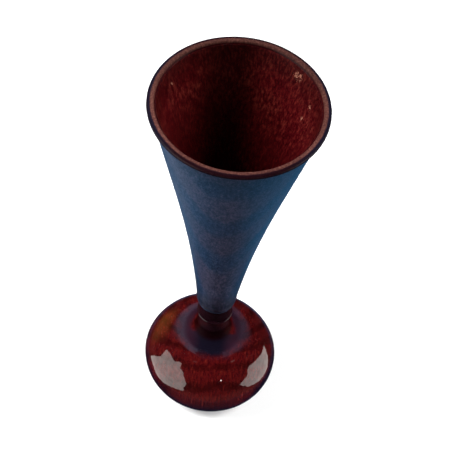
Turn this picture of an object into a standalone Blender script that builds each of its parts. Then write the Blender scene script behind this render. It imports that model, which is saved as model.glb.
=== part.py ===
"""A dip pen holder turned in wood: a flared cup with a lip ring, on a collar and a domed foot.

Run with: blender --background --python part.py

The frame: metres, +Z up. The origin is the centre of the underside, on the surface that the
holder stands on, and every piece is turned about the Z axis. Inside this file outlines are
written in millimetres as (radius, height), and scaled once, where they are turned.
"""
import math

import bmesh
import bpy

# Driving dimensions, in millimetres.
HEIGHT = 150.0            # whole holder, from the table to the top of the lip
LIP_RADIUS = 29.0         # outside of the lip ring, the widest place
MOUTH_RADIUS = 26.6       # inside of the lip ring at the top
CUP_TOP_RADIUS = 27.5     # outside of the cup, just under the lip
CUP_END_RADIUS = 7.2      # outside of the cup where its cone begins
END_ROUND = 1.6           # how far the rounded end under the cone draws in
WALL_TOP = 1.8            # thickness of the cup's wall under the lip
WALL_END = 2.9            # thickness of the cup's wall at its narrow end
TONGUE_WIDTH = 0.8        # thickness of the cup's tongue inside the lip ring
NECK_RADIUS = 6.0         # collar between the cup and the foot
FOOT_RADIUS = 23.6        # widest place of the foot
FOOT_EQUATOR = 12.0       # height of the foot's widest place
UNDER_RADIUS = 9.5        # half width of the curve under the foot's widest place
SHOULDER_RADIUS = 12.6    # soft ridge where the dish round the neck turns into the dome
SHOULDER_HEIGHT = 26.0
DISH_RISE = 6.5           # how far the dish climbs the neck above that ridge
DOWEL_RADIUS = 2.9        # hidden dowel through the collar
WEIGHT_RADIUS = 12.0      # steel ring let into the foot
WEIGHT_BORE = 4.0
LIP_HEIGHT = 2.0          # how far the lip ring stands above the cup's shoulder
TONGUE = 0.9              # height of the cup's tongue inside the lip ring
GAP = 0.3                 # clearance left between any two pieces

# Driving heights, in millimetres above the table.
FELT_TOP = 1.0
WEIGHT_TOP = 7.0
DOWEL_BOTTOM = 14.0
FOOT_TOP = 37.4
COLLAR_TOP = 43.9
CUP_END = 49.8            # where the rounded end passes into the cone
CUP_FLOOR = 52.0

# Worked out from those: each piece starts one gap above the piece below.
FOOT_BOTTOM = FELT_TOP + GAP
COLLAR_BOTTOM = FOOT_TOP + GAP
CUP_BOTTOM = COLLAR_TOP + GAP
CUP_SHOULDER = HEIGHT - LIP_HEIGHT
BORE_RADIUS = DOWEL_RADIUS + GAP
UNDER_END = math.degrees(math.asin(1 - FOOT_BOTTOM / FOOT_EQUATOR))
BASE_RADIUS = FOOT_RADIUS - UNDER_RADIUS * (1 - math.cos(math.radians(UNDER_END)))

ROUND_STEPS = 60          # facets round the large pieces
NECK_STEPS = 40           # facets round the small ones
SHARP_ANGLE = math.radians(35)
MM = 0.001


def arc(centre, radii, start, end, steps):
    """Points on an ellipse in the outline's plane, from one angle to another in degrees."""
    points = []
    for step in range(steps + 1):
        angle = math.radians(start + (end - start) * step / steps)
        points.append((centre[0] + radii[0] * math.cos(angle), centre[1] + radii[1] * math.sin(angle)))
    return points


def bezier(start, pull_start, pull_end, end, steps):
    """Points on a cubic curve from start to end, with its two control points between."""
    points = []
    for step in range(steps + 1):
        t = step / steps
        weights = ((1 - t) ** 3, 3 * (1 - t) ** 2 * t, 3 * (1 - t) * t * t, t ** 3)
        corners = (start, pull_start, pull_end, end)
        points.append(tuple(sum(w * c[axis] for w, c in zip(weights, corners)) for axis in (0, 1)))
    return points


def cone_curve(end_radius, end_height, top_radius, top_height, steps):
    """The cup's flare, from its narrow end to its mouth: slow at first, then almost straight."""
    rise = top_height - end_height
    flare = top_radius - end_radius
    return bezier((end_radius, end_height),
                  (end_radius + 0.230 * flare, end_height + 0.40 * rise),
                  (top_radius - 0.378 * flare, top_height - 0.34 * rise),
                  (top_radius, top_height), steps)


def material(name, colour, roughness, metallic=0.0, coat=0.0):
    """A plain Principled material."""
    made = bpy.data.materials.new(name)
    made.use_nodes = True
    shader = made.node_tree.nodes["Principled BSDF"]
    shader.inputs["Base Color"].default_value = (*colour, 1.0)
    shader.inputs["Roughness"].default_value = roughness
    shader.inputs["Metallic"].default_value = metallic
    shader.inputs["Coat Weight"].default_value = coat
    made.diffuse_color = (*colour, 1.0)
    return made


def turned(name, outline, steps, finish, root):
    """Turn a closed outline about the Z axis; points at radius 0 close on the axis."""
    mesh = bpy.data.meshes.new(name)
    work = bmesh.new()
    corners = [work.verts.new((radius * MM, 0.0, height * MM)) for radius, height in outline]
    edges = [work.edges.new(pair) for pair in zip(corners, corners[1:] + corners[:1])
             if pair[0].co.x > 0 or pair[1].co.x > 0]
    bmesh.ops.spin(work, geom=corners + edges, cent=(0, 0, 0), axis=(0, 0, 1),
                   angle=2 * math.pi, steps=steps, use_merge=True)
    bmesh.ops.remove_doubles(work, verts=work.verts, dist=1e-7)
    bmesh.ops.recalc_face_normals(work, faces=work.faces)
    work.to_mesh(mesh)
    work.free()
    mesh.shade_smooth()
    mesh.set_sharp_from_angle(angle=SHARP_ANGLE)
    mesh.materials.append(finish)
    piece = bpy.data.objects.new(name, mesh)
    bpy.context.scene.collection.objects.link(piece)
    piece.parent = root
    return piece


def lip_ring(finish, root):
    """The ring round the mouth: it overhangs the cup and drops over the cup's tongue."""
    tongue_outside = CUP_TOP_RADIUS - WALL_TOP + TONGUE_WIDTH
    underside = CUP_SHOULDER + GAP
    over_tongue = CUP_SHOULDER + TONGUE + GAP
    low_edge = 0.6
    bead = 0.85
    inner_edge = 0.45
    draw_in = 0.4
    outline = [(tongue_outside + GAP, underside)]
    outline += arc((LIP_RADIUS - low_edge, underside + low_edge), (low_edge, low_edge), -90, 0, 3)
    outline += arc((LIP_RADIUS - bead, HEIGHT - bead), (bead, bead), 0, 90, 5)
    outline += arc((MOUTH_RADIUS + inner_edge, HEIGHT - inner_edge), (inner_edge, inner_edge), 90, 180, 3)
    outline += [(MOUTH_RADIUS - draw_in, over_tongue), (tongue_outside + GAP, over_tongue)]
    return turned("lip_ring", outline, ROUND_STEPS, finish, root)


def cup(finish, root):
    """The flared cup, bored through its narrow end for the dowel."""
    inside_top = CUP_TOP_RADIUS - WALL_TOP
    inside_end = CUP_END_RADIUS - WALL_END
    tongue_top = CUP_SHOULDER + TONGUE
    tongue_bevel = 0.3
    floor_rise = 1.2
    floor_inset = 0.5
    floor_edge = 0.2
    outside = cone_curve(CUP_END_RADIUS, CUP_END, CUP_TOP_RADIUS, CUP_SHOULDER, 10)
    inside = cone_curve(inside_end, CUP_FLOOR + floor_rise, inside_top, CUP_SHOULDER, 8)
    outline = [(BORE_RADIUS, CUP_BOTTOM)]
    outline += arc((CUP_END_RADIUS - END_ROUND, CUP_END), (END_ROUND, CUP_END - CUP_BOTTOM), -90, 0, 5)
    outline += outside[1:]
    outline += [(inside_top + TONGUE_WIDTH, CUP_SHOULDER), (inside_top + TONGUE_WIDTH, tongue_top)]
    outline += [(inside_top + tongue_bevel, tongue_top)]
    outline += list(reversed(inside))
    outline += [(inside_end - floor_inset, CUP_FLOOR + floor_edge), (BORE_RADIUS, CUP_FLOOR)]
    return turned("cup", outline, ROUND_STEPS, finish, root)


def neck_collar(finish, root):
    """The collar that covers the joint, with a small bead round its lower edge."""
    bead = 0.5
    bead_centre = NECK_RADIUS - bead / 2
    band_bottom = COLLAR_BOTTOM + 3.0
    chamfer = 0.3
    outline = [(BORE_RADIUS, COLLAR_BOTTOM)]
    outline += [(bead_centre, COLLAR_BOTTOM)]
    outline += arc((bead_centre, COLLAR_BOTTOM + bead), (bead, bead), -90, 90, 4)[1:]
    outline += [(NECK_RADIUS, band_bottom), (NECK_RADIUS, COLLAR_TOP - chamfer)]
    outline += [(NECK_RADIUS - chamfer, COLLAR_TOP), (BORE_RADIUS, COLLAR_TOP)]
    return turned("neck_collar", outline, NECK_STEPS, finish, root)


def foot(finish, root):
    """The bun-shaped foot: a dome, a dish round its short neck, and a recess underneath."""
    under_collar = 0.45
    neck = NECK_RADIUS - under_collar
    shoulder = (SHOULDER_RADIUS, SHOULDER_HEIGHT)
    pull_in, pull_up = 4.0, 0.3
    pull_out, pull_down = 4.4, 1.1
    side_pull = 5.6
    dish = bezier((neck, SHOULDER_HEIGHT + DISH_RISE), (neck, SHOULDER_HEIGHT + 0.36 * DISH_RISE),
                  (SHOULDER_RADIUS - pull_in, SHOULDER_HEIGHT + pull_up), shoulder, 7)
    dome = bezier(shoulder, (SHOULDER_RADIUS + pull_out, SHOULDER_HEIGHT - pull_down),
                  (FOOT_RADIUS, FOOT_EQUATOR + side_pull), (FOOT_RADIUS, FOOT_EQUATOR), 10)
    outline = [(BORE_RADIUS, FOOT_TOP)]
    outline += [(neck, FOOT_TOP)]
    outline += dish
    outline += dome[1:]
    under_centre = (FOOT_RADIUS - UNDER_RADIUS, FOOT_EQUATOR)
    outline += arc(under_centre, (UNDER_RADIUS, FOOT_EQUATOR), 0, -UNDER_END, 6)[1:]
    outline += [(WEIGHT_RADIUS + GAP, FOOT_BOTTOM), (WEIGHT_RADIUS + GAP, WEIGHT_TOP + GAP)]
    outline += [(0, WEIGHT_TOP + GAP)]
    outline += [(0, DOWEL_BOTTOM - GAP), (BORE_RADIUS, DOWEL_BOTTOM - GAP)]
    return turned("foot", outline, ROUND_STEPS, finish, root)


def centre_dowel(finish, root):
    """The glued dowel, chamfered at both ends, from the foot up to the cup's floor."""
    chamfer = 0.5
    outline = [(0, DOWEL_BOTTOM), (DOWEL_RADIUS - chamfer, DOWEL_BOTTOM)]
    outline += [(DOWEL_RADIUS, DOWEL_BOTTOM + chamfer), (DOWEL_RADIUS, CUP_FLOOR - chamfer)]
    outline += [(DOWEL_RADIUS - chamfer, CUP_FLOOR), (0, CUP_FLOOR)]
    return turned("centre_dowel", outline, NECK_STEPS, finish, root)


def base_weight(finish, root):
    """The steel ring let into the underside of the foot."""
    chamfer = 0.6
    outline = [(WEIGHT_BORE, FOOT_BOTTOM), (WEIGHT_RADIUS, FOOT_BOTTOM)]
    outline += [(WEIGHT_RADIUS, WEIGHT_TOP - chamfer), (WEIGHT_RADIUS - chamfer, WEIGHT_TOP)]
    outline += [(WEIGHT_BORE, WEIGHT_TOP)]
    return turned("base_weight", outline, NECK_STEPS, finish, root)


def felt_pad(finish, root):
    """The felt disc that the holder stands on."""
    inset = 0.5
    radius = BASE_RADIUS - inset
    outline = [(0, 0), (radius, 0), (radius, FELT_TOP), (0, FELT_TOP)]
    return turned("felt_pad", outline, ROUND_STEPS, finish, root)


def build():
    for old in list(bpy.data.objects):
        bpy.data.objects.remove(old, do_unlink=True)
    root = bpy.data.objects.new("holder", None)
    bpy.context.scene.collection.objects.link(root)
    lip_wood = material("lip wood", (0.115, 0.042, 0.035), 0.35, coat=0.4)
    cup_wood = material("stained cup wood", (0.020, 0.035, 0.060), 0.40, coat=0.3)
    foot_wood = material("polished foot wood", (0.070, 0.006, 0.005), 0.18, coat=0.8)
    dowel_wood = material("dowel wood", (0.420, 0.270, 0.140), 0.60)
    steel = material("weight steel", (0.300, 0.300, 0.310), 0.45, metallic=1.0)
    felt = material("felt", (0.012, 0.035, 0.020), 0.95)
    lip_ring(lip_wood, root)
    cup(cup_wood, root)
    neck_collar(foot_wood, root)
    foot(foot_wood, root)
    centre_dowel(dowel_wood, root)
    base_weight(steel, root)
    felt_pad(felt, root)


build()
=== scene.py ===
"""The looks of the dip pen holder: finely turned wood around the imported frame, on a pale floor."""
import math

import bmesh
import bpy
from mathutils import Matrix, Vector, noise

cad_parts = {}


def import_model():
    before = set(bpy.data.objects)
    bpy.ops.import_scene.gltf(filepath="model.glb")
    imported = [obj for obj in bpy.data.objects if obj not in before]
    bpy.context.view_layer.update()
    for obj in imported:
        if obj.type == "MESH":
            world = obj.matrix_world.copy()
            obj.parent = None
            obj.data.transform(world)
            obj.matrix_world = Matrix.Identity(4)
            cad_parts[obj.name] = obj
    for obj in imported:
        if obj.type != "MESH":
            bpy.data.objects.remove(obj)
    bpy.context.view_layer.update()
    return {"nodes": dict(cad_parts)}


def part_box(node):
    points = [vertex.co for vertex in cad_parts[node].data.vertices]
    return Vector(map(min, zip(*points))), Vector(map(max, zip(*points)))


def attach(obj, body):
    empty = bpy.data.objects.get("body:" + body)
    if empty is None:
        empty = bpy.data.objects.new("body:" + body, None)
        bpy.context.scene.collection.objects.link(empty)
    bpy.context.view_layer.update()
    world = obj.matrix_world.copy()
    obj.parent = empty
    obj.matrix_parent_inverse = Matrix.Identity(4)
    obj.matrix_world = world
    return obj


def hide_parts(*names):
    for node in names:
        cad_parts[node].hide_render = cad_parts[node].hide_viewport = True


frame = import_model()

MM = 0.001
ROUND_STEPS = 288         # facets round each turned piece
SHARP_ANGLE = math.radians(40)
WELD = 1e-7               # points closer than this, in metres, are one point

# The camera, in metres and degrees: it looks down on the holder, which leans a little to the right.
CAMERA_LENS = 160.0       # mm, on a sensor 36 mm wide
CAMERA_DISTANCE = 0.6703
CAMERA_ELEVATION = 52.61
CAMERA_ROLL = 6.85
CAMERA_AIM = 0.08796      # height on the axis that the picture's centre looks at


# ---------------------------------------------------------------- shapes

def arc(centre, radii, start, end, steps):
    """Points on an ellipse in the outline's plane, from one angle to another in degrees."""
    points = []
    for step in range(steps + 1):
        angle = math.radians(start + (end - start) * step / steps)
        points.append((centre[0] + radii[0] * math.cos(angle), centre[1] + radii[1] * math.sin(angle)))
    return points


def bezier(start, pull_start, pull_end, end, steps):
    """Points on a cubic curve from start to end, with its two control points between."""
    points = []
    for step in range(steps + 1):
        t = step / steps
        weights = ((1 - t) ** 3, 3 * (1 - t) ** 2 * t, 3 * (1 - t) * t * t, t ** 3)
        corners = (start, pull_start, pull_end, end)
        points.append(tuple(sum(w * c[axis] for w, c in zip(weights, corners)) for axis in (0, 1)))
    return points


def cone_curve(end_radius, end_height, top_radius, top_height, steps):
    """The cup's flare, as the frame has it: slow at first, then almost straight."""
    rise = top_height - end_height
    flare = top_radius - end_radius
    return bezier((end_radius, end_height),
                  (end_radius + 0.230 * flare, end_height + 0.40 * rise),
                  (top_radius - 0.378 * flare, top_height - 0.34 * rise),
                  (top_radius, top_height), steps)


def turned(name, outline, finish, node, wobble=0.0, ripple=0.02):
    """Turn a closed outline, in metres, about Z; wobble is how deep its surface wanders, in ripples."""
    mesh = bpy.data.meshes.new(name)
    work = bmesh.new()
    corners = [work.verts.new((radius, 0.0, height)) for radius, height in outline]
    edges = [work.edges.new(pair) for pair in zip(corners, corners[1:] + corners[:1])
             if pair[0].co.x > 0 or pair[1].co.x > 0]
    bmesh.ops.spin(work, geom=corners + edges, cent=(0, 0, 0), axis=(0, 0, 1),
                   angle=2 * math.pi, steps=ROUND_STEPS, use_merge=True)
    bmesh.ops.remove_doubles(work, verts=work.verts, dist=WELD)
    bmesh.ops.recalc_face_normals(work, faces=work.faces)
    if wobble:
        for vertex in work.verts:
            depth = wobble * (0.5 + 0.5 * noise.noise(vertex.co / ripple))
            vertex.co -= vertex.normal * depth
    work.to_mesh(mesh)
    work.free()
    mesh.shade_smooth()
    mesh.set_sharp_from_angle(angle=SHARP_ANGLE)
    mesh.materials.append(finish)
    piece = bpy.data.objects.new(name, mesh)
    bpy.context.scene.collection.objects.link(piece)
    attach(piece, "root")
    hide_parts(node)
    return piece


# ---------------------------------------------------------------- materials

def srgb(red, green, blue):
    """A colour named by its display values, 0 to 255, as the linear colour that shaders use."""
    linear = []
    for value in (red, green, blue):
        part = value / 255
        linear.append(part / 12.92 if part <= 0.04045 else ((part + 0.055) / 1.055) ** 2.4)
    return (*linear, 1.0)


class Tree:
    """A material's node tree, with short ways to add nodes and link them."""

    def __init__(self, name):
        self.material = bpy.data.materials.new(name)
        self.material.use_nodes = True
        self.nodes = self.material.node_tree.nodes
        self.links = self.material.node_tree.links
        self.shader = self.nodes["Principled BSDF"]

    def put(self, socket, value):
        """Link value into socket if it is another node's socket, or set it there."""
        if isinstance(value, bpy.types.NodeSocket):
            self.links.new(value, socket)
        else:
            socket.default_value = value

    def add(self, kind, **inputs):
        """A node of that kind; its inputs are named by their sockets, with _ for a space."""
        node = self.nodes.new(kind)
        for name, value in inputs.items():
            self.put(node.inputs[name.replace("_", " ")], value)
        return node

    def math(self, operation, first, second=0.0, third=0.0):
        """The result of one operation on up to three values."""
        node = self.nodes.new("ShaderNodeMath")
        node.operation = operation
        for socket, value in zip(node.inputs, (first, second, third)):
            self.put(socket, value)
        return node.outputs[0]

    def mix(self, amount, first, second, blend="MIX"):
        """Two colours mixed: the first at amount 0, the second at 1."""
        node = self.nodes.new("ShaderNodeMix")
        node.data_type = "RGBA"
        node.blend_type = blend
        self.put(node.inputs["Factor"], amount)
        self.put(node.inputs["A"], first)
        self.put(node.inputs["B"], second)
        return node.outputs["Result"]

    def band(self, value, low, high, out_low=0.0, out_high=1.0):
        """Value eased from low..high to out_low..out_high."""
        node = self.nodes.new("ShaderNodeMapRange")
        node.interpolation_type = "SMOOTHSTEP"
        for name, number in (("Value", value), ("From Min", low), ("From Max", high),
                             ("To Min", out_low), ("To Max", out_high)):
            self.put(node.inputs[name], number)
        return node.outputs["Result"]

    def place(self, scale=(1, 1, 1), offset=(0, 0, 0)):
        """The point in the object's own frame, in millimetres, scaled along each axis."""
        coordinates = self.nodes.new("ShaderNodeTexCoord")
        mapping = self.nodes.new("ShaderNodeMapping")
        mapping.inputs["Scale"].default_value = tuple(value / MM for value in scale)
        mapping.inputs["Location"].default_value = offset
        self.links.new(coordinates.outputs["Object"], mapping.inputs["Vector"])
        return mapping.outputs["Vector"]

    def noise(self, vector, detail=3.0, rough=0.5):
        """Soft noise, around 0.5."""
        node = self.add("ShaderNodeTexNoise", Vector=vector, Scale=1.0, Detail=detail, Roughness=rough)
        return node.outputs["Fac"]

    def ramp(self, value, *stops):
        """A colour ramp; each stop is a position and a colour."""
        node = self.nodes.new("ShaderNodeValToRGB")
        elements = node.color_ramp.elements
        while len(elements) < len(stops):
            elements.new(1.0)
        for element, (position, colour) in zip(elements, stops):
            element.position = position
            element.color = colour
        self.put(node.inputs["Fac"], value)
        return node.outputs["Color"]

    def bump(self, height, strength, depth):
        """A normal from that height field; depth is in metres."""
        node = self.add("ShaderNodeBump", Height=height, Strength=strength, Distance=depth)
        return node.outputs["Normal"]

    def finish(self, **inputs):
        """Set the shader's inputs, named as in add, and give the material."""
        for name, value in inputs.items():
            self.put(self.shader.inputs[name.replace("_", " ")], value)
        return self.material


def grain(tree, stretch=1.0):
    """Streaks along Z, and short dark pores; stretch below 1 draws both out along Y."""
    streaks = tree.noise(tree.place((1.5, 1.5 * stretch, 0.06)), 5.0, 0.62)
    pores = tree.noise(tree.place((4.6, 4.6 * stretch, 0.8), (3.0, 7.0, 1.0)), 2.0, 0.6)
    return streaks, pores


def rings(tree, centre, spacing, wander):
    """Growth rings round an upright line, as a wave from 0 to 1; lengths are in millimetres."""
    apart = tree.nodes.new("ShaderNodeSeparateXYZ")
    tree.links.new(tree.place(), apart.inputs[0])
    across = tree.math("SUBTRACT", apart.outputs["X"], centre[0])
    along = tree.math("SUBTRACT", apart.outputs["Y"], centre[1])
    distance = tree.math("SQRT", tree.math("ADD", tree.math("POWER", across, 2.0),
                                           tree.math("POWER", along, 2.0)))
    drift = tree.noise(tree.place((0.07, 0.07, 0.02)), 3.0)
    phase = tree.math("ADD", distance, tree.math("MULTIPLY", drift, wander))
    wave = tree.math("SINE", tree.math("MULTIPLY", phase, 2 * math.pi / spacing))
    return tree.math("MULTIPLY_ADD", wave, 0.5, 0.5)


def place_parts(tree):
    """Distance from the axis, X, Y and height, in millimetres."""
    apart = tree.nodes.new("ShaderNodeSeparateXYZ")
    tree.links.new(tree.place(), apart.inputs[0])
    out = tree.math("SQRT", tree.math("ADD", tree.math("POWER", apart.outputs["X"], 2.0),
                                      tree.math("POWER", apart.outputs["Y"], 2.0)))
    return out, apart.outputs["X"], apart.outputs["Y"], apart.outputs["Z"]


def darken(tree, colour, amount):
    """Multiply a colour by a single value."""
    grey = tree.ramp(amount, (0.0, (0, 0, 0, 1)), (1.0, (1, 1, 1, 1)))
    return tree.mix(1.0, colour, grey, "MULTIPLY")


# Heights in mm between which the finish changes to the half-dull bead, and then to the dull collar.
BEAD_START = (37.5, 37.6)
BEAD_END = (39.0, 39.2)


def foot_wood():
    """Dark red wood under a thick, bright varnish; painted reflection and shade make it blue-black in
    the hollow round the neck and low down, and the neck nearly black.
    """
    tree = Tree("polished_red_wood")
    streaks, pores = grain(tree, 0.4)
    figure = rings(tree, (-1.0, 14.0), 5.0, 3.0)
    colour = tree.ramp(streaks, (0.28, srgb(36, 2, 5)), (0.46, srgb(54, 5, 7)),
                       (0.60, srgb(64, 9, 9)), (0.80, srgb(90, 26, 18)))
    broken = tree.noise(tree.place((0.25, 0.25, 0.25), (9.0, 4.0, 2.0)), 3.0, 0.6)
    late = tree.math("MULTIPLY", tree.band(figure, 0.30, 1.0), tree.band(broken, 0.35, 0.60, 0.2, 0.5))
    colour = darken(tree, colour, tree.math("SUBTRACT", 1.0, late))
    colour = darken(tree, colour, tree.band(pores, 0.34, 0.46, 0.72, 1.0))
    out, across, along, height = place_parts(tree)
    blotch = tree.noise(tree.place((0.3, 0.3, 0.3)), 3.0)
    # Painted reflection and shade in the hollow round the neck: blue-black in front, purple-grey at the
    # sides.
    ragged = tree.math("MULTIPLY_ADD", blotch, 4.0, out)
    painted_reflection_radius = tree.math("ADD", ragged, tree.band(along, -6.0, -1.0, 4.5, 0.0))
    hollow = tree.math("MULTIPLY", tree.band(painted_reflection_radius, 9.0, 11.5), tree.band(ragged, 12.0, 16.0, 1.0, 0.0))
    hollow = tree.math("MULTIPLY", hollow, tree.band(height, 19.0, 23.0))
    aside = tree.band(tree.math("ABSOLUTE", across), 3.0, 9.0)
    painted_reflection_tint = tree.mix(aside, srgb(11, 8, 18), srgb(36, 17, 28))
    colour = tree.mix(hollow, colour, painted_reflection_tint)
    # Painted shade: the neck under the cup nearly black.
    neck = tree.mix(tree.band(height, 32.0, 33.0), srgb(12, 0, 1), srgb(20, 4, 8))
    colour = tree.mix(tree.band(out, 6.1, 7.4, 0.88, 0.0), colour, neck)
    # Painted shade and reflection: blue-black low on the foot, reaching higher at the sides, most on
    # the right.
    width = tree.math("ADD", tree.band(across, 14.0, 23.0, 0.0, 6.5),
                      tree.band(across, -23.0, -15.0, 4.0, 0.0))
    edge = tree.math("SUBTRACT", tree.math("MULTIPLY_ADD", blotch, 0.6, height), width)
    colour = tree.mix(tree.band(edge, 7.2, 12.0, 0.85, 0.0), colour, srgb(9, 8, 22))
    dull = tree.math("MULTIPLY", tree.band(out, 8.0, 11.5, 1.0, 0.0),
                     tree.band(height, *BEAD_START, 1.0, 0.0))
    dull = tree.math("MAXIMUM", dull, tree.band(height, *BEAD_START, 0.0, 0.5))
    dull = tree.math("MAXIMUM", dull, tree.band(height, *BEAD_END))
    cloudy = tree.band(tree.noise(tree.place((0.55, 0.55, 0.3), (1.0, 5.0, 3.0)), 5.0, 0.7),
                       0.36, 0.58, 0.30, 0.0)
    cloudy = tree.math("MULTIPLY", cloudy, tree.band(height, 22.0, 25.0))
    dull = tree.math("MAXIMUM", dull, cloudy)
    relief = tree.noise(tree.place((0.35, 0.35, 0.2)), 2.0)
    return tree.finish(Base_Color=colour, Roughness=0.5, Coat_Weight=tree.math("SUBTRACT", 1.0, dull),
                       Coat_Roughness=0.04, Coat_IOR=1.5, Specular_IOR_Level=0.015,
                       Coat_Normal=tree.bump(relief, 0.25, 0.0002))


def chip(tree, centre, size):
    """A ragged spot round a point: 1 inside it, 0 outside; lengths are in millimetres."""
    away = tree.nodes.new("ShaderNodeVectorMath")
    away.operation = "DISTANCE"
    tree.links.new(tree.place(), away.inputs[0])
    away.inputs[1].default_value = centre
    broken = tree.noise(tree.place((1.7, 1.7, 1.0), centre), 4.0, 0.7)
    reach = tree.math("MULTIPLY_ADD", broken, 6.0 * size, away.outputs["Value"])
    return tree.band(reach, 3.2 * size, 3.6 * size, 1.0, 0.0)


def cup_patterns(tree, fineness):
    """Broad clouds, and a mottle of that fineness, for the cup's two finishes."""
    clouds = tree.noise(tree.place((0.10, 0.10, 0.06), (5.0, 2.0, 8.0)), 4.0, 0.6)
    mottle = tree.noise(tree.place((fineness, fineness, 0.6), (2.0, 2.0, 2.0)), 5.0, 0.75)
    return clouds, mottle


def cup_outside():
    """Wood with a satin finish, its colour painted blue as the reflection of a blue cloth; the growth
    rings show as bluer and greyer arcs.
    """
    tree = Tree("wood_painted_with_blue_reflection")
    pores = grain(tree)[1]
    _, across, _, height = place_parts(tree)
    figure = tree.band(rings(tree, (1.0, 34.8), 6.2, 2.5), 0.0, 0.7, 0.36, 1.0)
    clouds, mottle = cup_patterns(tree, 1.2)
    tone = tree.math("MULTIPLY_ADD", figure, 0.26, tree.math("MULTIPLY", mottle, 0.46))
    tone = tree.math("MULTIPLY_ADD", clouds, 0.28, tone)
    # Painted reflection: the base colour is the blue of a mirrored blue cloth, varied by rings, clouds
    # and mottle.
    colour = tree.ramp(tone, (0.34, srgb(8, 34, 66)), (0.50, srgb(30, 46, 72)),
                       (0.66, srgb(56, 50, 70)))
    # Painted shade under the lip: darker towards the top of the cone.
    colour = tree.mix(tree.band(height, 122.0, 146.0, 0.0, 0.6), colour, srgb(8, 20, 40))
    # Painted light: the left side paler and greyer, where the light falls.
    painted_left_light = tree.math("MULTIPLY", tree.band(across, -20.0, -4.0, 0.8, 0.0),
                      tree.band(tone, 0.3, 0.6, 0.5, 1.0))
    colour = tree.mix(painted_left_light, colour, srgb(76, 76, 92))
    # Painted reflection: the right side bluer.
    colour = tree.mix(tree.band(across, 0.0, 9.0, 0.0, 0.45), colour, srgb(14, 46, 73))
    # Painted shade: the cone's rounded lower end darker and purple.
    colour = tree.mix(tree.band(height, 48.0, 60.0, 0.85, 0.0), colour, srgb(18, 9, 20))
    colour = tree.mix(tree.band(mottle, 0.50, 0.66, 0.0, 0.45), colour, srgb(66, 58, 74))
    colour = darken(tree, colour, tree.band(mottle, 0.38, 0.60, 0.40, 1.0))
    colour = darken(tree, colour, tree.band(pores, 0.34, 0.50, 0.50, 1.0))
    return tree.finish(Base_Color=colour, Roughness=0.45, Coat_Weight=0.5, Coat_Roughness=0.2,
                       Specular_IOR_Level=0.1, Sheen_Weight=0.08, Sheen_Roughness=0.4,
                       Sheen_Tint=srgb(60, 150, 200), Normal=tree.bump(pores, 0.25, 0.0002))


def cup_inside():
    """Dark red, barely polished wood, with a few chips near the lip, and painted shade on the back wall
    and under the lip.
    """
    tree = Tree("red_wood_inside")
    streaks, pores = grain(tree)
    _, across, along, height = place_parts(tree)
    clouds, mottle = cup_patterns(tree, 1.6)
    speck = tree.math("MULTIPLY_ADD", mottle, 0.5, tree.math("MULTIPLY", streaks, 0.5))
    colour = tree.ramp(speck, (0.36, srgb(30, 1, 3)), (0.50, srgb(56, 4, 8)),
                       (0.66, srgb(94, 25, 22)))
    colour = darken(tree, colour, tree.band(pores, 0.36, 0.50, 0.40, 1.0))
    warm = tree.math("MULTIPLY", tree.band(height, 112.0, 136.0),
                     tree.band(clouds, 0.40, 0.62, 0.1, 0.5))
    warm = tree.math("MULTIPLY", warm, tree.band(speck, 0.46, 0.66))
    colour = tree.mix(warm, colour, srgb(106, 48, 38))
    # Painted shade on the back wall inside, darkest near the top.
    aside = tree.math("ABSOLUTE", tree.math("ADD", across, 4.5))
    behind = tree.math("MULTIPLY", tree.band(along, 4.0, 20.0), tree.band(aside, 3.0, 13.0, 1.0, 0.0))
    behind = tree.math("MULTIPLY", behind, tree.band(height, 80.0, 125.0, 0.10, 0.56))
    colour = darken(tree, colour, tree.math("SUBTRACT", 1.0, behind))
    # Painted shade just under the lip, all round the inside.
    colour = darken(tree, colour, tree.band(height, 137.0, 147.5, 1.0, 0.62))
    chips = chip(tree, (17.6, 18.4, 146.0), 1.9)
    for centre, size in (((22.3, 9.6, 141.5), 1.1), ((20.4, 9.9, 135.5), 1.0),
                         ((-22.3, 10.9, 143.5), 0.9)):
        chips = tree.math("MAXIMUM", chips, chip(tree, centre, size))
    colour = tree.mix(tree.math("MULTIPLY", chips, 0.8), colour, srgb(140, 92, 76))
    return tree.finish(Base_Color=colour, Roughness=0.5, Coat_Weight=0.15, Coat_Roughness=0.3,
                       Specular_IOR_Level=0.1, Normal=tree.bump(pores, 0.25, 0.0002))


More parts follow.
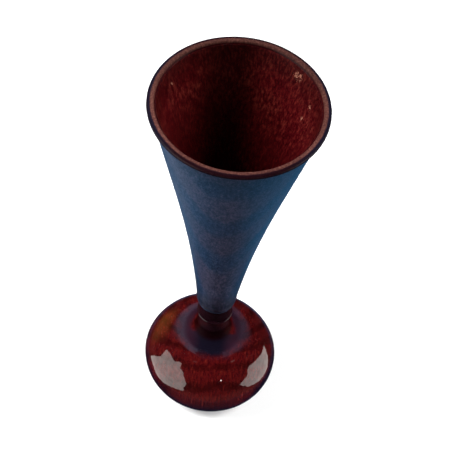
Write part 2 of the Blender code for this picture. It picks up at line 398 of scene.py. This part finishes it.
def lip_wood():
    """Wood under a dark stain, with a paler painted highlight on the flat top of the lip and a painted
    reflection at its sides.
    """
    tree = Tree("lip_wood_with_painted_highlight")
    streaks, pores = grain(tree)
    stain_and_side_reflection = tree.ramp(streaks, (0.3, srgb(13, 3, 7)), (0.7, srgb(28, 7, 12)))
    # Painted highlight on the flat top of the lip, where the light falls: paler, uneven, weaker at the
    # back and a little at the front.
    painted_top_highlight = tree.ramp(streaks, (0.25, srgb(50, 25, 23)), (0.5, srgb(76, 44, 39)),
                     (0.75, srgb(114, 74, 62)))
    out, across, along, height = place_parts(tree)
    uneven = tree.noise(tree.place((0.06, 0.06, 0.06), (4.0, 1.0, 0.0)), 2.0)
    painted_top_highlight = darken(tree, painted_top_highlight, tree.band(uneven, 0.35, 0.60, 0.80, 1.0))
    painted_top_highlight = darken(tree, painted_top_highlight, tree.band(along, -6.0, 22.0, 1.0, 0.6))
    painted_top_highlight = darken(tree, painted_top_highlight, tree.band(along, -25.0, -12.0, 0.8, 1.0))
    ragged = tree.math("MULTIPLY_ADD", tree.noise(tree.place((0.5, 0.5, 0.5)), 4.0), 0.5, out)
    painted_top_highlight_mask = tree.math("MULTIPLY", tree.band(ragged, 27.85, 28.4, 1.0, 0.0),
                       tree.band(height, 149.2, 149.6))
    stain_and_side_reflection = darken(tree, stain_and_side_reflection, tree.band(pores, 0.34, 0.50, 0.5, 1.0))
    # Painted reflection: the left and right sides of the lip blue-black.
    sides = tree.band(tree.math("ABSOLUTE", across), 16.0, 26.0, 0.0, 0.7)
    stain_and_side_reflection = tree.mix(sides, stain_and_side_reflection, srgb(12, 13, 26))
    face = tree.ramp(streaks, (0.3, srgb(26, 2, 4)), (0.7, srgb(50, 6, 8)))
    # Painted shade: the outer face darker towards the back.
    face = darken(tree, face, tree.band(along, 8.0, 22.0, 1.0, 0.45))
    colour = tree.mix(tree.band(out, 26.3, 27.0, 1.0, 0.0), stain_and_side_reflection, face)
    colour = tree.mix(painted_top_highlight_mask, colour, painted_top_highlight)
    return tree.finish(Base_Color=colour, Roughness=0.5, Coat_Weight=0.12, Coat_Roughness=0.2,
                       Specular_IOR_Level=0.05, Normal=tree.bump(pores, 0.3, 0.0002))


def felt():
    """Dark green pressed felt."""
    tree = Tree("green_felt")
    fibres = tree.noise(tree.place((2.5, 2.5, 2.5)), 6.0, 0.7)
    colour = tree.ramp(fibres, (0.3, srgb(14, 34, 22)), (0.7, srgb(38, 74, 52)))
    return tree.finish(Base_Color=colour, Roughness=0.95, Sheen_Weight=0.4,
                       Sheen_Tint=srgb(120, 160, 130), Normal=tree.bump(fibres, 0.6, 0.0003))


def dowel_wood():
    """Plain hardwood, unfinished."""
    tree = Tree("plain_dowel_wood")
    streaks, pores = grain(tree)
    colour = tree.ramp(streaks, (0.3, srgb(74, 42, 28)), (0.7, srgb(116, 74, 50)))
    return tree.finish(Base_Color=colour, Roughness=0.7, Normal=tree.bump(pores, 0.4, 0.0002))


def weight_steel():
    """Dull steel, a little uneven in colour and polish."""
    tree = Tree("turned_steel")
    marks = tree.noise(tree.place((0.4, 0.4, 0.4)), 5.0, 0.6)
    rough = tree.band(marks, 0.3, 0.7, 0.35, 0.6)
    colour = tree.ramp(marks, (0.3, srgb(110, 108, 106)), (0.7, srgb(150, 149, 147)))
    return tree.finish(Base_Color=colour, Metallic=1.0, Roughness=rough,
                       Normal=tree.bump(marks, 0.2, 0.0001))


# ---------------------------------------------------------------- pieces

# Sizes that two pieces share and the frame's boxes don't give; they are the frame's own.
CUP_WALL = 1.8 * MM       # the cup's wall at its mouth
STEP_WIDTH = 0.8 * MM     # the step in the cup's top edge, which the lip sits over
STEP_HEIGHT = 0.9 * MM
GLUE_GAP = 0.05 * MM
BORE_GAP = 0.1 * MM       # between the dowel and the bores round it
WEIGHT_GAP = 0.3 * MM     # round the weight and under the dowel, in the foot
WALL_STEPS = 90           # points along each side of the cup's wall


def dowel_bore():
    """The radius of the bores that the dowel goes through."""
    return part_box("centre_dowel")[1].x + BORE_GAP


def lip_piece(finish):
    """The ring over the cup's top edge: rounded outside, flat on top, stepped underneath."""
    low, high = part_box("lip_ring")
    cup_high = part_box("cup")[1]
    step_radius = cup_high.x - CUP_WALL + STEP_WIDTH + GLUE_GAP
    shoulder = cup_high.z - STEP_HEIGHT
    step_top = shoulder + 0.95 * MM
    mouth = high.x - 2.4 * MM
    under = 0.6 * MM
    bead = 0.85 * MM
    edge = 0.5 * MM
    outline = [(step_radius, shoulder + GLUE_GAP)]
    outline += arc((high.x - under, low.z + under), (under, under), -90, 0, 8)
    outline += arc((high.x - bead, high.z - bead), (bead, bead), 0, 90, 12)
    outline += arc((mouth + edge, high.z - edge), (edge, edge), 90, 180, 8)
    outline += [(mouth - 0.45 * MM, step_top), (step_radius, step_top)]
    turned("lip_turned", outline, finish, "lip_ring")


def cup_piece(outside_finish, inside_finish):
    """The hollow cone, rounded at its lower end, with its two finishes."""
    low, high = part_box("cup")
    shoulder = high.z - STEP_HEIGHT
    end_radius = 7.2 * MM
    end_corner = 1.6 * MM
    end_height = low.z + 5.6 * MM
    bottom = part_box("centre_dowel")[1].z
    inside_top = high.x - CUP_WALL
    inside_end = end_radius - 2.9 * MM
    outer_wall = cone_curve(end_radius, end_height, high.x, shoulder, WALL_STEPS)
    inner_wall = cone_curve(inside_end, bottom + 1.2 * MM, inside_top, shoulder, WALL_STEPS)
    outline = [(dowel_bore(), low.z)]
    outline += arc((end_radius - end_corner, end_height), (end_corner, end_height - low.z), -90, 0, 16)
    outline += outer_wall[1:]
    outline += [(inside_top + STEP_WIDTH, shoulder), (inside_top + STEP_WIDTH, high.z)]
    outline += [(inside_top + 0.3 * MM, high.z)]
    outline += list(reversed(inner_wall))
    outline += [(inside_end - 0.5 * MM, bottom + 0.2 * MM), (dowel_bore(), bottom)]
    piece = turned("cup_turned", outline, outside_finish, "cup")
    piece.data.materials.append(inside_finish)
    for face in piece.data.polygons:
        outward = face.normal.x * face.center.x + face.normal.y * face.center.y > 0
        face.material_index = 0 if outward or face.center.z < bottom else 1


def collar_piece(finish):
    """The ring round the neck, with a bead along its lower edge."""
    low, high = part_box("neck_collar")
    bead = 0.5 * MM
    proud = 0.25 * MM     # how far the bead stands out
    radius = high.x - proud
    edge = 0.3 * MM
    outline = [(dowel_bore(), low.z), (radius - proud, low.z)]
    outline += arc((radius - proud, low.z + bead), (bead, bead), -90, 90, 12)[1:]
    outline += [(radius, low.z + 3.0 * MM), (radius, high.z - edge)]
    outline += [(radius - edge, high.z), (dowel_bore(), high.z)]
    turned("collar_turned", outline, finish, "neck_collar")


def foot_piece(finish):
    """The dome with its short neck, and the recess under it for the weight."""
    low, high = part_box("foot")
    equator = 12.0 * MM
    under_radius = 9.5 * MM
    shoulder = (12.6 * MM, 26.0 * MM)
    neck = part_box("neck_collar")[1].x - 0.7 * MM
    dish_rise = 6.5 * MM
    dish = bezier((neck, shoulder[1] + dish_rise), (neck, shoulder[1] + 0.36 * dish_rise),
                  (shoulder[0] - 4.0 * MM, shoulder[1] + 0.3 * MM), shoulder, 40)
    dome = bezier(shoulder, (shoulder[0] + 4.4 * MM, shoulder[1] - 1.1 * MM),
                  (high.x, equator + 5.6 * MM), (high.x, equator), 60)
    under_end = math.degrees(math.asin(1 - low.z / equator))
    weight_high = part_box("base_weight")[1]
    recess_radius = weight_high.x + WEIGHT_GAP
    recess_top = weight_high.z + WEIGHT_GAP
    bore_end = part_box("centre_dowel")[0].z - WEIGHT_GAP
    outline = [(dowel_bore(), high.z)]
    outline += dish
    outline += dome[1:]
    outline += arc((high.x - under_radius, equator), (under_radius, equator), 0, -under_end, 40)[1:]
    outline += [(recess_radius, low.z), (recess_radius, recess_top), (0, recess_top)]
    outline += [(0, bore_end), (dowel_bore(), bore_end)]
    turned("foot_turned", outline, finish, "foot")


def felt_piece(finish):
    """The felt disc: rounded edges, and a slightly uneven surface."""
    low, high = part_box("felt_pad")
    edge = 0.4 * MM
    radius_steps = 24
    outline = [(0, low.z)]
    outline += [(high.x * step / radius_steps, low.z) for step in range(1, radius_steps)]
    outline += arc((high.x - edge, low.z + edge), (edge, edge), -90, 0, 5)
    outline += arc((high.x - edge, high.z - edge), (edge, edge), 0, 90, 5)
    outline += [(0, high.z)]
    turned("felt_base", outline, finish, "felt_pad", wobble=0.12 * MM, ripple=0.0012)


# ---------------------------------------------------------------- stage

FLOOR_SIZE = 20.0         # metres, as are the lengths below
FLOOR_HEIGHT = -0.0002
SHADE_REACH = 0.044
SHADE_HEIGHT = -0.001
ROOM_RADIUS = 5.0
WINDOW_DISTANCE = 3.0
SOFTBOX_DISTANCE = 1.1


def staged(name, mesh, material):
    """An object of the stage, with one material."""
    mesh.materials.append(material)
    made = bpy.data.objects.new(name, mesh)
    bpy.context.scene.collection.objects.link(made)
    return made


def only_seen_in_gloss(name, mesh, material):
    """A stage object that reflections show, and nothing else: it casts no light, shade or picture."""
    made = staged(name, mesh, material)
    made.visible_camera = False
    made.visible_diffuse = False
    made.visible_transmission = False
    made.visible_volume_scatter = False
    made.visible_shadow = False


def floor():
    """Pale and plain: shaded near the object, and far off the same white as the surround."""
    tree = Tree("pale_floor")
    out = place_parts(tree)[0]
    far = tree.band(out, 150.0, 900.0)
    colour = tree.mix(far, (0.70, 0.70, 0.70, 1.0), (0.0, 0.0, 0.0, 1.0))
    tree.finish(Base_Color=colour, Roughness=0.9, Specular_IOR_Level=0.0,
                Emission_Color=(1.0, 1.0, 1.0, 1.0),
                Emission_Strength=tree.math("MULTIPLY_ADD", far, 0.7, 0.3))
    half = FLOOR_SIZE / 2
    mesh = bpy.data.meshes.new("floor")
    mesh.from_pydata([(-half, -half, FLOOR_HEIGHT), (half, -half, FLOOR_HEIGHT),
                      (half, half, FLOOR_HEIGHT), (-half, half, FLOOR_HEIGHT)], [], [(0, 1, 2, 3)])
    staged("floor", mesh, tree.material).visible_glossy = False


def emission(name, colour=(1.0, 1.0, 1.0, 1.0)):
    """A glowing material's tree, and the node that glows."""
    tree = Tree(name)
    light = tree.add("ShaderNodeEmission", Color=colour, Strength=1.0)
    output = tree.nodes["Material Output"]
    tree.links.new(light.outputs[0], output.inputs["Surface"])
    return tree, light


def ground_shade():
    """A dark sheet for the shadowed ground beside the foot: a painted shadow that the foot's varnish
    mirrors along its lower edge.
    """
    steps = 48
    points = []
    for step in range(steps):
        around = 2 * math.pi * step / steps
        points.append((SHADE_REACH * math.sin(around), SHADE_REACH * math.cos(around), SHADE_HEIGHT))
    mesh = bpy.data.meshes.new("shade_card")
    mesh.from_pydata(points, [], [tuple(range(steps))])
    only_seen_in_gloss("shade_card", mesh, emission("ground_shade", srgb(24, 32, 56))[0].material)


def room():
    """What the varnish mirrors from all round: a dark room, lighter behind, over a blue cloth."""
    mesh = bpy.data.meshes.new("room")
    work = bmesh.new()
    bmesh.ops.create_uvsphere(work, u_segments=48, v_segments=24, radius=ROOM_RADIUS)
    work.to_mesh(mesh)
    work.free()
    tree, light = emission("room_glow")
    where = tree.nodes.new("ShaderNodeNewGeometry")
    direction = tree.nodes.new("ShaderNodeVectorMath")
    direction.operation = "NORMALIZE"
    tree.links.new(where.outputs["Position"], direction.inputs[0])
    apart = tree.nodes.new("ShaderNodeSeparateXYZ")
    tree.links.new(direction.outputs[0], apart.inputs[0])
    back = tree.math("MULTIPLY", apart.outputs["Y"], -1.0)
    azimuth = tree.math("MULTIPLY", tree.math("ARCTAN2", apart.outputs["X"], back), 180 / math.pi)
    elevation = tree.math("MULTIPLY", tree.math("ARCSINE", apart.outputs["Z"]), 180 / math.pi)
    behind = tree.band(tree.math("ABSOLUTE", azimuth), 100.0, 150.0)
    high = tree.band(elevation, 20.0, 45.0)
    glow = tree.mix(tree.band(azimuth, -60.0, 60.0), srgb(196, 206, 240), srgb(150, 146, 178))
    colour = tree.mix(tree.math("MULTIPLY", behind, high), srgb(18, 14, 16), glow)
    warm = tree.math("MULTIPLY", tree.band(azimuth, -154.0, -136.0),
                     tree.band(azimuth, -124.0, -102.0, 1.0, 0.0))
    off_level = tree.math("ABSOLUTE", tree.math("SUBTRACT", elevation, 3.0))
    warm = tree.math("MULTIPLY", warm, tree.band(off_level, 7.0, 30.0, 1.0, 0.0))
    colour = tree.mix(warm, colour, srgb(230, 145, 66))
    ahead = tree.band(tree.math("ABSOLUTE", azimuth), 90.0, 120.0, 1.0, 0.0)
    ahead = tree.math("MULTIPLY", tree.band(elevation, -12.0, -4.0, 1.0, 0.0), ahead)
    colour = tree.mix(ahead, colour, srgb(190, 84, 80))
    colour = tree.mix(tree.band(elevation, -36.0, -26.0, 1.0, 0.0), colour, srgb(40, 92, 130))
    tree.put(light.inputs["Color"], colour)
    only_seen_in_gloss("room_card", mesh, tree.material)


def window(name, corners, strength):
    """A bright opening that only gloss mirrors; its corners are azimuths and elevations in degrees."""
    points = []
    for azimuth, elevation in corners:
        around, up = math.radians(azimuth), math.radians(elevation)
        level = WINDOW_DISTANCE * math.cos(up)
        points.append((level * math.sin(around), -level * math.cos(around),
                       WINDOW_DISTANCE * math.sin(up)))
    mesh = bpy.data.meshes.new(name)
    mesh.from_pydata(points, [], [tuple(range(len(points)))])
    tree, light = emission(name + "_glow", (1.0, 0.94, 0.90, 1.0))
    uneven = tree.noise(tree.place((0.003, 0.003, 0.003)))
    tree.put(light.inputs["Strength"], tree.band(uneven, 0.3, 0.7, 0.85 * strength, 1.1 * strength))
    only_seen_in_gloss(name, mesh, tree.material)


def softbox(name, azimuth, elevation, size, power):
    """An area light aimed at the cup; it lights surfaces but doesn't show in reflections."""
    light = bpy.data.lights.new(name, "AREA")
    light.shape = "RECTANGLE"
    light.size, light.size_y = size
    light.energy = power
    lamp = bpy.data.objects.new(name, light)
    around, up = math.radians(azimuth), math.radians(elevation)
    away = Vector((math.sin(around) * math.cos(up), -math.cos(around) * math.cos(up), math.sin(up)))
    lamp.location = Vector((0, 0, 0.08)) + away * SOFTBOX_DISTANCE
    lamp.rotation_euler = away.to_track_quat("Z", "Y").to_euler()
    lamp.visible_glossy = False
    bpy.context.scene.collection.objects.link(lamp)


def world():
    """A pale surround: white behind the floor, and a little soft light from everywhere."""
    made = bpy.data.worlds.new("studio")
    made.use_nodes = True
    nodes = made.node_tree.nodes
    sky = nodes["Background"]
    sky.inputs["Color"].default_value = (1.0, 1.0, 1.0, 1.0)
    path = nodes.new("ShaderNodeLightPath")
    strength = nodes.new("ShaderNodeMapRange")
    strength.inputs["To Min"].default_value = 0.12
    strength.inputs["To Max"].default_value = 1.0
    made.node_tree.links.new(path.outputs["Is Camera Ray"], strength.inputs["Value"])
    made.node_tree.links.new(strength.outputs["Result"], sky.inputs["Strength"])
    made.cycles_visibility.glossy = False
    bpy.context.scene.world = made


def camera():
    """The camera, from the four numbers at the top of this file; it keeps the holder's lean."""
    up_angle = math.radians(CAMERA_ELEVATION)
    roll = math.radians(CAMERA_ROLL)
    forward = Vector((0, math.cos(up_angle), -math.sin(up_angle)))
    level_up = Vector((0, math.sin(up_angle), math.cos(up_angle)))
    level_right = Vector((1, 0, 0))
    right = math.cos(roll) * level_right + math.sin(roll) * level_up
    up = -math.sin(roll) * level_right + math.cos(roll) * level_up
    data = bpy.data.cameras.new("camera")
    data.lens = CAMERA_LENS
    data.sensor_width = 36.0
    data.clip_start, data.clip_end = 0.01, 50.0
    made = bpy.data.objects.new("camera", data)
    place = Vector((0, 0, CAMERA_AIM)) - CAMERA_DISTANCE * forward
    made.matrix_world = Matrix((
        (right.x, up.x, -forward.x, place.x),
        (right.y, up.y, -forward.y, place.y),
        (right.z, up.z, -forward.z, place.z),
        (0, 0, 0, 1)))
    bpy.context.scene.collection.objects.link(made)
    bpy.context.scene.camera = made


# ---------------------------------------------------------------- build

red = foot_wood()
lip_piece(lip_wood())
cup_piece(cup_outside(), cup_inside())
collar_piece(red)
foot_piece(red)
felt_piece(felt())
for node_name, finish_made, slot_name in (("centre_dowel", dowel_wood(), "dowel_wood"),
                                          ("base_weight", weight_steel(), "weight_steel")):
    node_object = frame["nodes"][node_name]
    node_object.data.materials.clear()
    node_object.data.materials.append(finish_made)

camera()
floor()
ground_shade()
room()
window("left_window", ((-103, -23), (-87, 4), (-90, 18), (-83, 23), (-66, 26), (-56, 35), (-51, 27),
                       (-43, 24), (-30, 7), (-33, -13), (-50, -22), (-66, -32), (-79, -34),
                       (-90, -26)), 3.6)
window("right_window", ((120, -4), (114, -16), (108, -25), (88, -26), (65, -12), (53, 4), (67, 8),
                        (79, 18), (94, 11), (106, 3)), 3.5)
window("lamp", ((23.5, 24), (26.5, 24), (26.5, 26.5), (23.5, 26.5)), 22.0)
window("left_gleam", ((-42, 56), (-34, 58), (-35, 60), (-43, 58)), 1.3)
window("right_gleam", ((61, 53), (72, 51), (73, 53), (62, 55)), 1.3)
softbox("left_softbox", -82, 42, (0.3, 0.8), 27)
softbox("right_softbox", 95, 38, (0.3, 0.8), 19)
world()
bpy.context.scene.view_settings.view_transform = "Standard"
